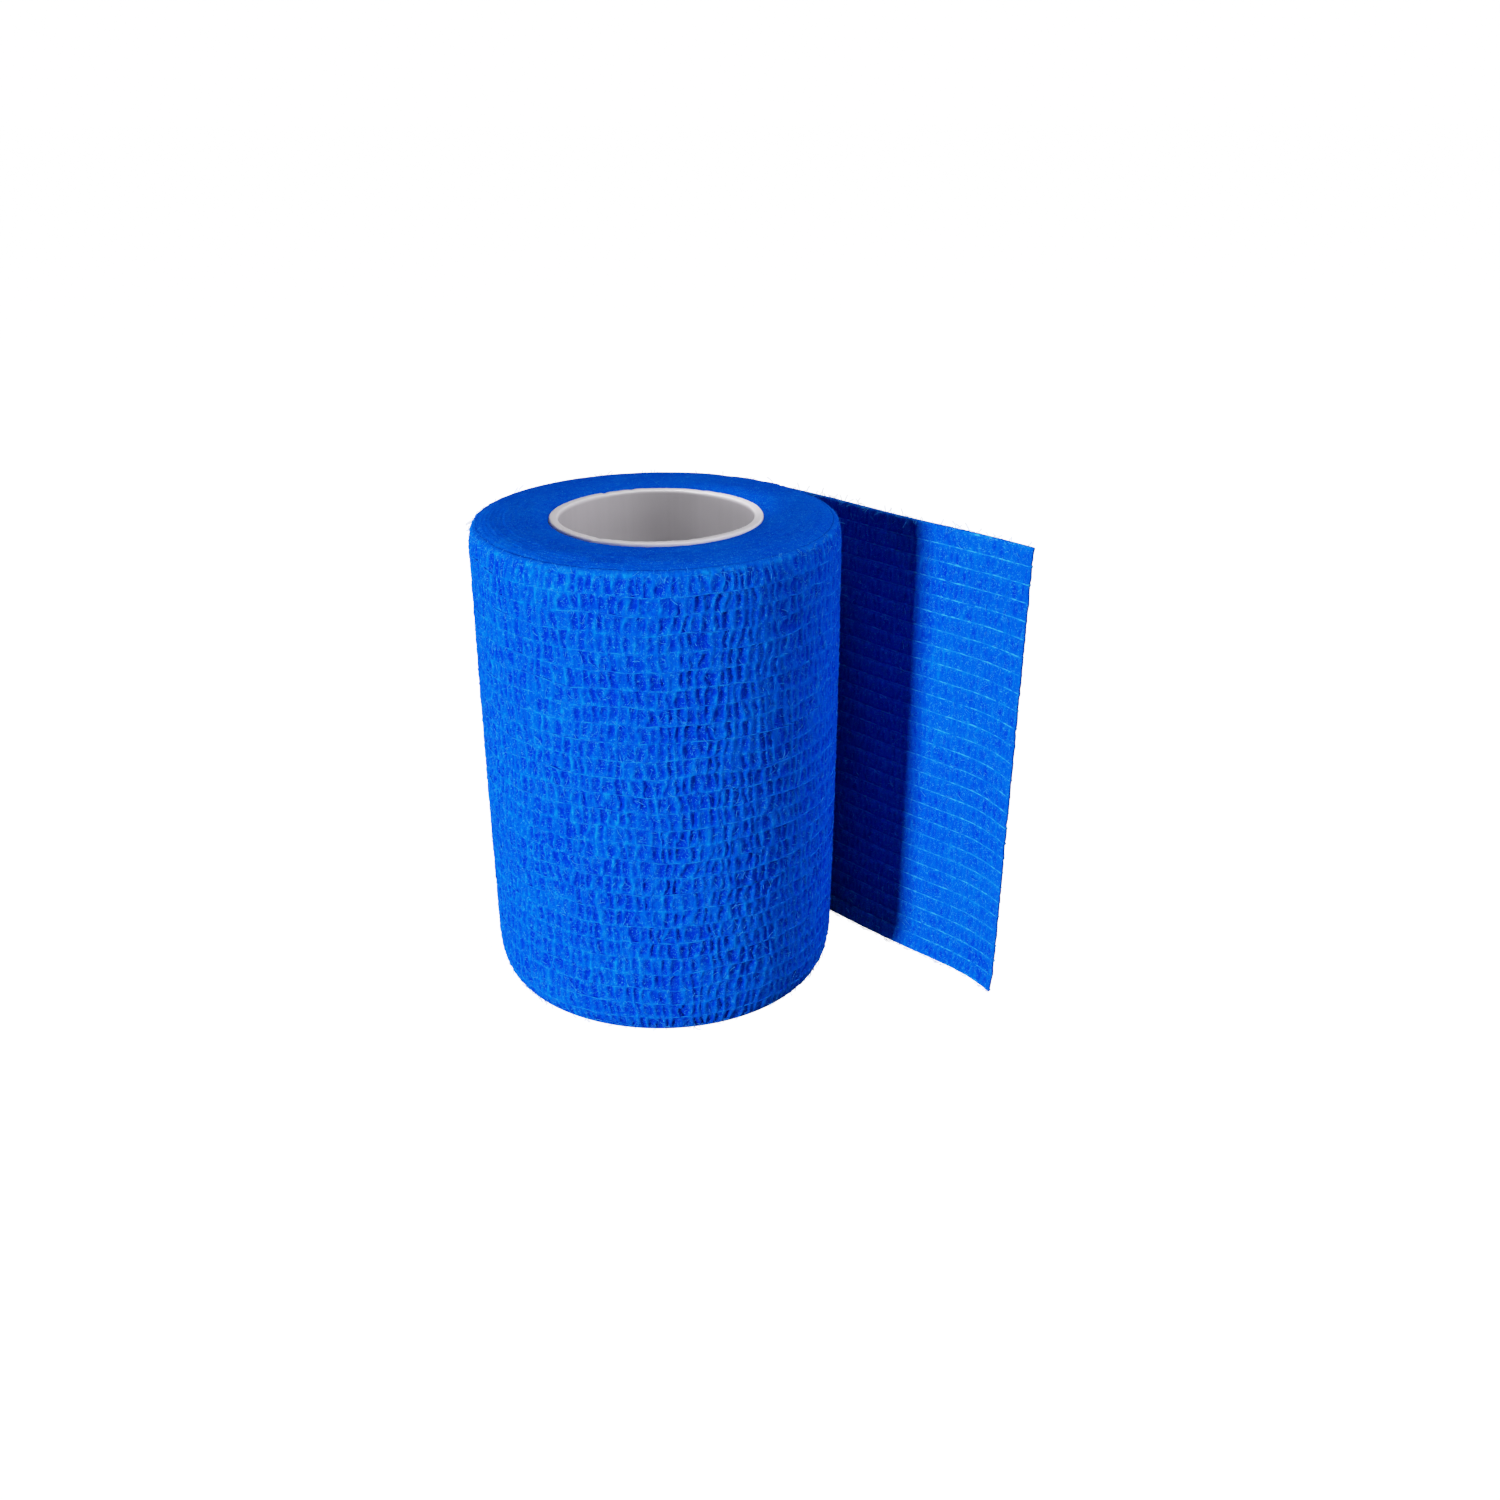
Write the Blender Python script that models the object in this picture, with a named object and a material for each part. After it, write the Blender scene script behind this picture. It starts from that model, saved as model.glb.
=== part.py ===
"""A cohesive bandage: one long crepe strip wound on a white tube, its loose end standing off the roll.

Metres, +Z up. The roll stands on one end face, with its tube upright. The strip is wound
anticlockwise inwards, seen from above, so the loose end leaves the roll clockwise. The origin is
under the middle of the whole part's footprint.
"""
import math

import bpy
import numpy as np

# The wound roll
ROLL_HEIGHT = 0.0750        # end face to end face: the strip's nominal width
ROLL_RADIUS = 0.02835       # axis to the outer turn, at the line where the loose end leaves it
TURN_STEP = 0.0007          # each turn lies this much inside the next one out
FOOT_TAPER = 0.0004         # the roll is this much slimmer at its foot than at its head
FOOT_ROUND_IN = 0.0022      # the lower rim draws in by this much ...
FOOT_ROUND_HIGH = 0.0060    # ... over this height
HEAD_ROUND_IN = 0.0055      # the upper end face falls away over this width to the outer turn's edge
SIDE_BULGE = 0.0003         # one side swells by this much at half height
BULGE_ANGLE = math.radians(-8.0)
WOBBLE = 0.00012            # slow waves round the roll, where the turns lie unevenly
WOBBLE_WAVES = 3

# The loose end
LEAVE_ANGLE = math.radians(41.9)    # direction from the axis to the line where it leaves the roll
LOOSE_THICKNESS = 0.0011
LOOSE_TOP = 0.0737          # its upper edge, level with the outer turn's edge
LOOSE_FOOT = 0.0003         # its lower edge, just off the surface that the roll stands on
LOOSE_LENGTH_TOP = 0.0488   # from the leaving line to the cut, along the upper edge
LOOSE_LENGTH_FOOT = 0.0480
LEAVE_FOOT_SHARE = 0.35     # how far the outer turn follows the rim's rounding where it leaves
SETTLE_TURN = 0.12          # part of a turn in which it settles fully onto the rounding
CREASE_ANGLE = math.radians(13.0)   # the loose end and the turn below cling together this far
CURL_LENGTH = 0.0090        # the cut end curls towards the roll over this length ...
CURL_DEPTH = 0.0014         # ... by this much at its lower corner
RIPPLE = 0.00018            # slow waves along the loose end
RIPPLE_LENGTH = 0.0330

# The tube
TUBE_OUTER_RADIUS = 0.0161
TUBE_WALL = 0.0014
TUBE_RECESS = 0.0004        # its rims lie this far inside the roll's end faces
TUBE_RIM_BEVEL = 0.0003
FIT_GAP = 0.0003            # between the tube and the innermost turn

# How finely the surfaces are divided
TURN_STEPS = 88             # round the roll, from the leaving line to the crease
CREASE_STEPS = 4            # across the strip of roll under the loose end's root
ROOT_STEPS = 2              # along the root's outer face
LOOSE_STEPS = 14            # along the free length
LOOSE_CROWDING = 1.5        # above 1, the steps crowd towards the curled cut end
SIDE_ROWS = 10              # up the side, above the rounded foot
FOOT_ROWS = 4
HEAD_ROWS = 5
FACE_RINGS = 2              # across each flat end face
TUBE_SEGMENTS = 72
SMOOTH_UNDER = math.radians(40.0)

# Colours, as linear RGB
CREPE_BLUE = (0.003, 0.105, 0.78, 1.0)
TUBE_WHITE = (0.80, 0.78, 0.82, 1.0)


def remove_everything():
    """Empty the scene of the objects it opened with."""
    for thing in list(bpy.data.objects):
        bpy.data.objects.remove(thing, do_unlink=True)


def plain_material(name, colour, roughness):
    """A Principled material of one colour."""
    material = bpy.data.materials.new(name)
    material.use_nodes = True
    shader = material.node_tree.nodes["Principled BSDF"]
    shader.inputs["Base Color"].default_value = colour
    shader.inputs["Roughness"].default_value = roughness
    shader.inputs["Metallic"].default_value = 0.0
    return material


def foot_inset(height):
    """How far the rim draws in at a height: a quarter ellipse that ends level with the foot."""
    drop = np.clip((FOOT_ROUND_HIGH - height) / FOOT_ROUND_HIGH, 0.0, 1.0)
    return FOOT_ROUND_IN * (1.0 - np.sqrt(1.0 - drop ** 2))


def settled(turn):
    """Share of the foot's rounding that the outer turn follows, eased in after the leaving line."""
    ease = np.clip(turn / SETTLE_TURN, 0.0, 1.0)
    return LEAVE_FOOT_SHARE + (1.0 - LEAVE_FOOT_SHARE) * ease ** 2 * (3.0 - 2.0 * ease)


def roll_radius(turn, height):
    """Radius of the wound surface: a spiral of one turn, tapered, bulged and a little uneven.

    turn runs from 0 at the leaving line to 1 after a whole turn anticlockwise.
    """
    angle = LEAVE_ANGLE + 2.0 * math.pi * turn
    level = height / ROLL_HEIGHT
    bulge = np.clip(np.cos(angle - BULGE_ANGLE), 0.0, 1.0) ** 2 * np.sin(math.pi * level)
    wobble = np.sin(WOBBLE_WAVES * (angle - LEAVE_ANGLE)) * np.sin(math.pi * level + turn)
    return (ROLL_RADIUS - TURN_STEP * turn - FOOT_TAPER * (1.0 - level)
            + SIDE_BULGE * bulge + WOBBLE * wobble - settled(turn) * foot_inset(height))


def loose_offset(along, height):
    """Distance of the loose end's outer face from the axis plane it is parallel to.

    It keeps the radius it left the roll with, ripples slowly, and curls in at its lower cut corner.
    """
    past_bend = np.clip((along - (LOOSE_LENGTH_FOOT - CURL_LENGTH)) / CURL_LENGTH, 0.0, None)
    lowness = 1.0 - height / ROLL_HEIGHT
    ripple = RIPPLE * np.sin(2.0 * math.pi * along / RIPPLE_LENGTH)
    return roll_radius(0.0, height) + ripple - CURL_DEPTH * past_bend ** 2 * lowness ** 0.6


def loose_length(height):
    """Free length at a height: the cut is a straight line, a little out of square."""
    level = height / ROLL_HEIGHT
    return LOOSE_LENGTH_FOOT + (LOOSE_LENGTH_TOP - LOOSE_LENGTH_FOOT) * level


def from_axis(angle, radius, height):
    """A point at an angle and radius about the roll's axis."""
    return np.stack([radius * np.cos(angle), radius * np.sin(angle), np.full_like(radius, height)], -1)


def from_leaving_line(along, offset, height):
    """A point on the loose end: along it from the leaving line, and outwards from the axis."""
    x = offset * math.cos(LEAVE_ANGLE) + along * math.sin(LEAVE_ANGLE)
    y = offset * math.sin(LEAVE_ANGLE) - along * math.cos(LEAVE_ANGLE)
    return np.stack([x, y, np.full_like(x, height)], -1)


def wound_points(height):
    """The roll's outline at a height, from the leaving line anticlockwise to the crease."""
    last_turn = 1.0 - CREASE_ANGLE / (2.0 * math.pi)
    turn = np.linspace(0.0, last_turn, TURN_STEPS + 1)
    return from_axis(LEAVE_ANGLE + 2.0 * math.pi * turn, roll_radius(turn, height), height)


def bridging_points(height):
    """The roll's outline under the loose end's root, between the crease and the leaving line."""
    share = np.linspace(0.0, 1.0, CREASE_STEPS + 1)[1:-1]
    last_turn = 1.0 - CREASE_ANGLE / (2.0 * math.pi)
    radius = roll_radius(last_turn, height) * (1.0 - share) + roll_radius(0.0, height) * share
    return from_axis(LEAVE_ANGLE - CREASE_ANGLE * (1.0 - share), radius, height)


def loose_points(height):
    """The loose end's outline at a height: out along its inner face, then back along its outer."""
    last_turn = 1.0 - CREASE_ANGLE / (2.0 * math.pi)
    crease = roll_radius(last_turn, height) * math.sin(CREASE_ANGLE)
    share = 1.0 - (1.0 - np.linspace(0.0, 1.0, LOOSE_STEPS + 1)) ** LOOSE_CROWDING
    along = crease + (loose_length(height) - crease) * share
    root = np.linspace(crease, 0.0, ROOT_STEPS + 1)[1:-1]
    back = np.concatenate([along[::-1], root])
    inner = from_leaving_line(along, loose_offset(along, height) - LOOSE_THICKNESS, height)
    outer = from_leaving_line(back, loose_offset(back, height), height)
    return np.concatenate([inner, outer])


def strip_faces(first, second, closed=True):
    """Quads between two rows of point numbers, facing outwards when the second row is above."""
    ahead_first = np.roll(first, -1)
    ahead_second = np.roll(second, -1)
    quads = np.stack([first, ahead_first, ahead_second, second], -1)
    return quads.tolist() if closed else quads[:-1].tolist()


def edge_faces(wound, loose, bridge):
    """The narrow face on one long edge of the loose end, with its root, seen from above."""
    inner = loose[:LOOSE_STEPS + 1]
    outer = loose[LOOSE_STEPS + 1:2 * LOOSE_STEPS + 2][::-1]
    root = loose[2 * LOOSE_STEPS + 2:]
    quads = np.stack([inner[:-1], inner[1:], outer[1:], outer[:-1]], -1).tolist()
    root_face = [wound[-1], inner[0], outer[0], *root, wound[0], *bridge[::-1]]
    return quads + [[int(number) for number in root_face]]


def bandage_surface():
    """Points and faces of the whole strip, wound and loose, about the roll's axis."""
    points = []
    faces = []

    def add(rows):
        first = sum(len(block) for block in points)
        points.append(rows)
        return np.arange(first, first + len(rows))

    # The side, with the loose end, from the loose end's lower edge to its upper edge
    foot_share = np.linspace(0.0, 1.0, FOOT_ROWS + 1)[:-1]
    foot_heights = LOOSE_FOOT + (FOOT_ROUND_HIGH - LOOSE_FOOT) * foot_share ** 2
    heights = np.concatenate([foot_heights, np.linspace(FOOT_ROUND_HIGH, LOOSE_TOP, SIDE_ROWS + 1)])
    wound_rows = [add(wound_points(height)) for height in heights]
    loose_rows = [add(loose_points(height)) for height in heights]
    for row in range(len(heights) - 1):
        lower = np.concatenate([wound_rows[row], loose_rows[row]])
        upper = np.concatenate([wound_rows[row + 1], loose_rows[row + 1]])
        faces += strip_faces(lower, upper)

    # The loose end's two long edges
    head_bridge = add(bridging_points(LOOSE_TOP))
    foot_bridge = add(bridging_points(LOOSE_FOOT))
    faces += edge_faces(wound_rows[-1], loose_rows[-1], head_bridge)
    faces += [face[::-1] for face in edge_faces(wound_rows[0], loose_rows[0], foot_bridge)]

    # The upper end: the rounded shoulder, the flat face, then down the bore and out to the foot
    head_outline = np.concatenate([wound_points(LOOSE_TOP), bridging_points(LOOSE_TOP)])
    angle = np.arctan2(head_outline[:, 1], head_outline[:, 0])
    radius = np.hypot(head_outline[:, 0], head_outline[:, 1])
    foot_outline = np.concatenate([wound_points(0.0), bridging_points(0.0)])
    foot_radius = np.hypot(foot_outline[:, 0], foot_outline[:, 1])
    bore = np.full_like(radius, TUBE_OUTER_RADIUS + FIT_GAP)
    loops = []
    for rise in np.linspace(0.0, math.pi / 2.0, HEAD_ROWS + 1)[1:]:
        height = LOOSE_TOP + (ROLL_HEIGHT - LOOSE_TOP) * math.sin(rise)
        loops.append(from_axis(angle, radius - HEAD_ROUND_IN * (1.0 - math.cos(rise)), height))
    shoulder = radius - HEAD_ROUND_IN
    for share in np.linspace(0.0, 1.0, FACE_RINGS + 1)[1:]:
        loops.append(from_axis(angle, shoulder + (bore - shoulder) * share, ROLL_HEIGHT))
    for share in np.linspace(0.0, 1.0, FACE_RINGS + 1):
        loops.append(from_axis(angle, bore + (foot_radius - bore) * share, 0.0))
    ring = np.concatenate([wound_rows[-1], head_bridge])
    for loop in loops:
        following = add(loop)
        faces += strip_faces(ring, following)
        ring = following
    faces += strip_faces(ring, np.concatenate([wound_rows[0], foot_bridge]))
    return np.concatenate(points), faces


def tube_surface():
    """Points and faces of the tube: a bevelled rectangular section turned about the axis."""
    inner = TUBE_OUTER_RADIUS - TUBE_WALL
    low = TUBE_RECESS
    high = ROLL_HEIGHT - TUBE_RECESS
    bevel = TUBE_RIM_BEVEL
    section = [
        (TUBE_OUTER_RADIUS, low + bevel), (TUBE_OUTER_RADIUS, high - bevel),
        (TUBE_OUTER_RADIUS - bevel, high), (inner + bevel, high),
        (inner, high - bevel), (inner, low + bevel),
        (inner + bevel, low), (TUBE_OUTER_RADIUS - bevel, low),
    ]
    angle = np.linspace(0.0, 2.0 * math.pi, TUBE_SEGMENTS, endpoint=False)
    points = [from_axis(angle, np.full_like(angle, radius), height) for radius, height in section]
    rings = np.arange(len(section) * TUBE_SEGMENTS).reshape(len(section), TUBE_SEGMENTS)
    faces = []
    for number, ring in enumerate(rings):
        faces += strip_faces(ring, rings[(number + 1) % len(section)])
    return np.concatenate(points), faces


def add_piece(name, surface, material, parent):
    """One closed mesh object, smooth where its faces meet at a shallow angle."""
    points, faces = surface
    mesh = bpy.data.meshes.new(name)
    mesh.from_pydata(points.tolist(), [], faces)
    mesh.shade_smooth()
    mesh.set_sharp_from_angle(angle=SMOOTH_UNDER)
    mesh.materials.append(material)
    piece = bpy.data.objects.new(name, mesh)
    bpy.context.scene.collection.objects.link(piece)
    piece.parent = parent
    return piece


remove_everything()
bandage = bandage_surface()
footprint = bandage[0][:, :2]
footprint_middle = (footprint.min(axis=0) + footprint.max(axis=0)) / 2.0

roll_axis = bpy.data.objects.new("roll_axis", None)
bpy.context.scene.collection.objects.link(roll_axis)
roll_axis.location = (-footprint_middle[0], -footprint_middle[1], 0.0)

add_piece("bandage", bandage, plain_material("crepe_strip", CREPE_BLUE, 0.80), roll_axis)
add_piece("core", tube_surface(), plain_material("tube_plastic", TUBE_WHITE, 0.45), roll_axis)
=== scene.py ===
import math

import bpy
import numpy as np
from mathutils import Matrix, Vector


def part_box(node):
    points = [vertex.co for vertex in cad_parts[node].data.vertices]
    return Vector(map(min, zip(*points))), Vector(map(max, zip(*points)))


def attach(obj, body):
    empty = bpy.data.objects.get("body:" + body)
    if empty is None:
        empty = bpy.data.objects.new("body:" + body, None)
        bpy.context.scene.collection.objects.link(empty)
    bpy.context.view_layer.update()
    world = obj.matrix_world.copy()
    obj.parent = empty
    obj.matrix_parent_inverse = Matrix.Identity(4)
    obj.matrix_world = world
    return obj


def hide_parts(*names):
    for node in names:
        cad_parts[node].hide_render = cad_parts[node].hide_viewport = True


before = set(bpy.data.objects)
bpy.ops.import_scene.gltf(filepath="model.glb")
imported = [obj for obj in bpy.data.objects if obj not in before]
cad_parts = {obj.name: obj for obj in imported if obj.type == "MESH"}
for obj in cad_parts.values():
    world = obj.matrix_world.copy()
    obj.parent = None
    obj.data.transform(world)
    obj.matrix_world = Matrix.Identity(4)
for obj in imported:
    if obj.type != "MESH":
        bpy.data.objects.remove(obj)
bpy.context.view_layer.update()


# ---------------------------------------------------------------------------------------------
# The tube: a short length of white extruded plastic pipe that the strip is wound on. It is sawn
# off, so its rims are a little uneven, with a soft edge and a few small nicks.

core_low, core_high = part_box("core")
AXIS = np.array([(core_low.x + core_high.x) / 2, (core_low.y + core_high.y) / 2, 0.0])
TUBE_RADIUS = (core_high.x - core_low.x) / 2
TUBE_WALL = 0.0014
TUBE_FOOT = core_low.z
TUBE_HEAD = core_high.z
OUT_OF_ROUND = 0.00005
RIM_ROUNDING = 0.00030       # radius of the rims' worn edges
RIM_ZONE = 0.002             # the ends' unevenness dies away over this length
RIM_UNEVEN = 0.00004         # how far the saw cut wanders
RIM_PROUD = 0.0002           # the head stands this much higher than it was drawn ...
RIM_TILT = 0.00015           # ... and more at the front than at the back
NICK_DEPTH = 0.00016         # of the deepest
NICK_WIDTH = math.radians(1.6)
NICK_ANGLES = (62.0, 104.0, 113.0, 121.0, 236.0, 318.0)   # degrees round the head
TUBE_SEGMENTS = 288
TUBE_WHITE = (0.515, 0.495, 0.525)   # the walls ...
RIM_LIGHT_WHITE = (0.73, 0.705, 0.74)     # ... and the rims, painted paler: painted light on the rims
RIM_LIGHT_FADE = (0.0001, 0.0007)         # between these distances in from an end


def uneven(seed, *axes, waves=14):
    """Smooth unevenness of about unit size: the sum of sine waves of random direction and phase.
    Each of axes is a coordinate and the length over which the unevenness changes along it."""
    rng = np.random.default_rng(seed)
    total = 0.0
    for _ in range(waves):
        phase = rng.uniform(0.0, 2.0 * math.pi)
        for coordinate, length in axes:
            phase = phase + rng.normal() * math.pi * coordinate / length
        total = total + np.cos(phase)
    return total * math.sqrt(2.0 / waves)


def grid_quads(rows, columns, rows_meet=False, columns_meet=False):
    """Corner numbers of a grid's faces, its points numbered row by row. Where rows or columns
    meet, a last face leads from the last one back to the first."""
    row = np.arange(rows if rows_meet else rows - 1)[:, None]
    column = np.arange(columns if columns_meet else columns - 1)[None, :]
    next_row, next_column = (row + 1) % rows, (column + 1) % columns
    corners = [row * columns + column, row * columns + next_column,
               next_row * columns + next_column, next_row * columns + column]
    return np.stack(np.broadcast_arrays(*corners), axis=-1).reshape(-1, 4)


def closed_piece(name, points, quads, finish, caps=(), strip=None, dimple=None):
    """A closed piece from its points (any shape, 3 last), its smooth four-sided faces and its
    flat caps. The faces are turned round if the volume that they enclose is negative.
    strip holds each point's place on the flat strip, and dimple how deep in a pucker it lies, which
    the cloth's colour turns into painted shade and painted highlight."""
    points = points.reshape(-1, 3)
    middle = points.mean(axis=0)
    a, b, c, d = (points[quads[:, i]] - middle for i in range(4))
    volume = (a * np.cross(b, c)).sum() + (a * np.cross(c, d)).sum()
    faces = [quads.ravel()] + [np.asarray(cap) for cap in caps]
    sizes = np.concatenate([np.full(len(quads), 4), [len(cap) for cap in caps]]).astype(int)
    starts = np.cumsum(sizes) - sizes
    corners = np.concatenate(faces)
    if volume < 0.0:
        ends = np.repeat(starts + starts + sizes - 1, sizes)
        corners = corners[ends - np.arange(len(corners))]
    mesh = bpy.data.meshes.new(name)
    mesh.vertices.add(len(points))
    mesh.vertices.foreach_set("co", points.astype(np.float32).ravel())
    mesh.loops.add(len(corners))
    mesh.loops.foreach_set("vertex_index", corners.astype(np.int32))
    mesh.polygons.add(len(sizes))
    mesh.polygons.foreach_set("loop_start", starts.astype(np.int32))
    mesh.polygons.foreach_set("use_smooth", np.arange(len(sizes)) < len(quads))
    if strip is not None:
        layer = mesh.uv_layers.new(name="strip")
        layer.data.foreach_set("uv", strip.reshape(-1, 2)[corners].astype(np.float32).ravel())
    if dimple is not None:
        depth = mesh.attributes.new("dimple", "FLOAT", "POINT")
        depth.data.foreach_set("value", dimple.astype(np.float32).ravel())
    mesh.update(calc_edges=True)
    mesh.validate()
    mesh.materials.append(finish)
    piece = bpy.data.objects.new(name, mesh)
    bpy.context.scene.collection.objects.link(piece)
    return piece


class Socket:
    """A shader socket. Sums on it add Math nodes, and node() adds a node of any other type."""

    def __init__(self, tree, output=None):
        self.tree, self.output = tree, output

    def node(self, kind, inputs=(), out=0, **settings):
        """A new node: its settings first, then a value or a Socket into each named or numbered
        input. Gives its output number out."""
        made = self.tree.nodes.new("ShaderNode" + kind)
        for name, value in settings.items():
            setattr(made, name, value)
        for key, value in dict(inputs).items():
            if isinstance(value, Socket):
                self.tree.links.new(value.output, made.inputs[key])
            else:
                made.inputs[key].default_value = value
        return Socket(self.tree, made.outputs[out])

    def math(self, operation, *values):
        return self.node("Math", dict(enumerate(values)), operation=operation)

    def __add__(self, other):
        return self.math("ADD", self, other)

    def __sub__(self, other):
        return self.math("SUBTRACT", self, other)

    def __rsub__(self, other):
        return self.math("SUBTRACT", other, self)

    def __mul__(self, other):
        return self.math("MULTIPLY", self, other)

    __radd__ = __add__
    __rmul__ = __mul__

    def step(self, low, high):
        """0 below low and 1 above high, with a soft step between."""
        span = {"Value": self, "From Min": low, "From Max": high}
        return self.node("MapRange", span, interpolation_type="SMOOTHSTEP")

    def colour(self, at_zero, at_one):
        """The colour that lies this far from at_zero to at_one."""
        ends = [c if isinstance(c, Socket) else (*c, 1.0) for c in (at_zero, at_one)]
        return self.node("Mix", {0: self, 6: ends[0], 7: ends[1]}, out=2, data_type="RGBA")

    def into(self, target):
        self.tree.links.new(self.output, target)


def new_finish(name, **constants):
    """A material with a Principled shader: the material, a Socket to start from, the shader."""
    finish = bpy.data.materials.new(name)
    finish.use_nodes = True
    shader = finish.node_tree.nodes["Principled BSDF"]
    for key, value in constants.items():
        shader.inputs[key.replace("_", " ")].default_value = value
    return finish, Socket(finish.node_tree), shader


def tube_plastic():
    """Satin white plastic with painted light on its rims, which are painted paler than the walls:
    faint long marks from the die, a slow mottle and a very fine grain."""
    finish, start, shader = new_finish("tube_plastic", IOR=1.46)
    place = start.node("TexCoord", out=3)
    height = start.node("SeparateXYZ", {0: place}, out=2)
    near, far = RIM_LIGHT_FADE
    # Painted light: the last fraction of a millimetre at each end is painted paler than the walls.
    rim_light = height.step(TUBE_HEAD - far, TUBE_HEAD - near)
    rim_light = rim_light + (0.0 - height).step(-TUBE_FOOT - far, -TUBE_FOOT - near)
    centred = start.node("VectorMath", {0: place, 1: tuple(AXIS)}, operation="SUBTRACT")
    long = start.node("VectorMath", {0: centred, 1: (900.0, 900.0, 14.0)}, operation="MULTIPLY")
    marks = start.node("TexNoise", {"Vector": long, "Scale": 1.0, "Detail": 2.0})
    mottle = start.node("TexNoise", {"Vector": centred, "Scale": 160.0, "Detail": 3.0})
    grain = start.node("TexNoise", {"Vector": centred, "Scale": 5200.0, "Detail": 1.0})
    shade = (marks * 0.4 + mottle * 0.6).step(0.25, 0.75)
    darker = tuple(0.93 * c for c in TUBE_WHITE)
    wall = shade.colour(darker, TUBE_WHITE)
    rim_light.colour(wall, RIM_LIGHT_WHITE).into(shader.inputs["Base Color"])
    (0.40 + 0.16 * mottle).into(shader.inputs["Roughness"])
    relief = marks * 0.6 + grain * 0.4
    bump = start.node("Bump", {"Height": relief, "Strength": 0.25, "Distance": 0.00008})
    bump.into(shader.inputs["Normal"])
    return finish


def rounded_wall(outer, inner, low, high, rounding, arc_steps=6, side_steps=14):
    """Outline of the tube's wall, radius and height: a box with its four corners rounded off."""
    centres = ((outer - rounding, low + rounding, -90.0), (outer - rounding, high - rounding, 0.0),
               (inner + rounding, high - rounding, 90.0), (inner + rounding, low + rounding, 180.0))
    outline = []
    for radius, height, start in centres:
        arc = np.radians(start + np.linspace(0.0, 90.0, arc_steps))
        corner = [radius + rounding * np.cos(arc), height + rounding * np.sin(arc)]
        outline.append(np.stack(corner, 1))
        if start in (0.0, 180.0):
            continue
        side = np.linspace(low, high, side_steps)[1:-1]
        if start == 90.0:
            side = side[::-1]
        wall = np.full(len(side), outer if start == -90.0 else inner)
        outline.append(np.stack([wall, side], 1))
    return np.concatenate(outline)


def tube_swell(across, along):
    """How far the wall is out of round, in a direction given by its cosine and sine."""
    return OUT_OF_ROUND * uneven(5, (across, 0.8), (along, 0.8))


def tube_points():
    """The wall's outline turned about the axis; near its ends it wanders up and down with the
    angle, its head leans back, and each nick takes a bell-shaped bite out of the head."""
    outline = rounded_wall(TUBE_RADIUS, TUBE_RADIUS - TUBE_WALL, TUBE_FOOT, TUBE_HEAD, RIM_ROUNDING)
    radius, height = outline[:, 0, None], outline[:, 1, None]
    angle = np.linspace(0.0, 2.0 * math.pi, TUBE_SEGMENTS, endpoint=False)[None, :]
    across, along = np.cos(angle), np.sin(angle)
    at_head = np.clip((height - TUBE_HEAD + RIM_ZONE) / RIM_ZONE, 0.0, 1.0) ** 2
    at_foot = np.clip((TUBE_FOOT + RIM_ZONE - height) / RIM_ZONE, 0.0, 1.0) ** 2
    cut = uneven(3, (across, 0.5), (along, 0.5)) + 0.5 * uneven(4, (across, 0.09), (along, 0.09))
    drop = RIM_UNEVEN * np.abs(cut) * (at_head - at_foot)
    for number, degrees in enumerate(NICK_ANGLES):
        off = (angle - math.radians(degrees) + math.pi) % (2.0 * math.pi) - math.pi
        bite = np.exp(-(off / NICK_WIDTH) ** 2) * (0.5 + 0.5 * math.sin(2.4 * number))
        drop = drop + NICK_DEPTH * bite * at_head
    drop = drop - (RIM_PROUD - RIM_TILT * along) * at_head
    radius = radius + tube_swell(across, along)
    return np.stack([AXIS[0] + radius * across, AXIS[1] + radius * along,
                     height - drop + 0.0 * angle], axis=-1)


points = tube_points()
tube = closed_piece("tube", points, grid_quads(*points.shape[:2], True, True), tube_plastic())
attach(tube, "root")
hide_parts("core")


# ---------------------------------------------------------------------------------------------
# The wound turns: about sixteen turns of the strip under the outermost one. Only their edges
# show, felted together at the head and at the foot, each turn a faint ridge a little higher or
# lower than the next.

ROLL_HEIGHT = 0.075
ROLL_RADIUS = 0.02835        # outer turn, on the leaving line
TURN_STEP = 0.0007           # thickness of a wound turn
FOOT_TAPER = 0.0004          # the roll is this much slimmer at its foot
FOOT_ROUND_IN = 0.0022       # rounding of the foot: how far in, and over what height
FOOT_ROUND_HIGH = 0.006
HEAD_ROUND_IN = 0.0055       # rounding of the head: how far in
RIM_DRAWN_IN = 0.0004        # the outer turns lean in by this much at the head ...
RIM_DRAWN_HIGH = 0.0030      # ... over this height
LOOSE_TOP = 0.0737           # heights of the strip's two edges, where it leaves the roll
LOOSE_FOOT = 0.0003
SIDE_BULGE = 0.0003          # one side swells by this much at half height
BULGE_ANGLE = math.radians(-8.0)
WOBBLE = 0.00012             # slow waves round the roll, where the turns lie unevenly
WOBBLE_WAVES = 3
LEAVE_ANGLE = math.radians(41.9)   # the leaving line, from +X towards +Y
LEAVE_FOOT_SHARE = 0.35      # how much of the foot's rounding the strip has on that line ...
SETTLE_TURN = 0.12           # ... and the part of a turn after which it has all of it
FIT_GAP = 0.00012            # between the tube and the strip, at the ends ...
TIGHT_GAP = 0.00002          # ... and between them
TURN_GAP = 0.00002           # between the outer turn and those under it
STEP_TURN = 0.04             # part of a turn over which the strip's start tapers out underneath
EDGE_GROOVE = 0.00003        # depth of the groove between two turns' edges
EDGE_RAGGED = 0.00004        # how much higher one turn stands than the next ...
EDGE_PATCH = 0.004           # ... in patches of about this size
BORE_DIP = 0.0005            # the innermost turns have sunk this far, round the tube
BORE_DIP_WIDE = 0.0035
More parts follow.
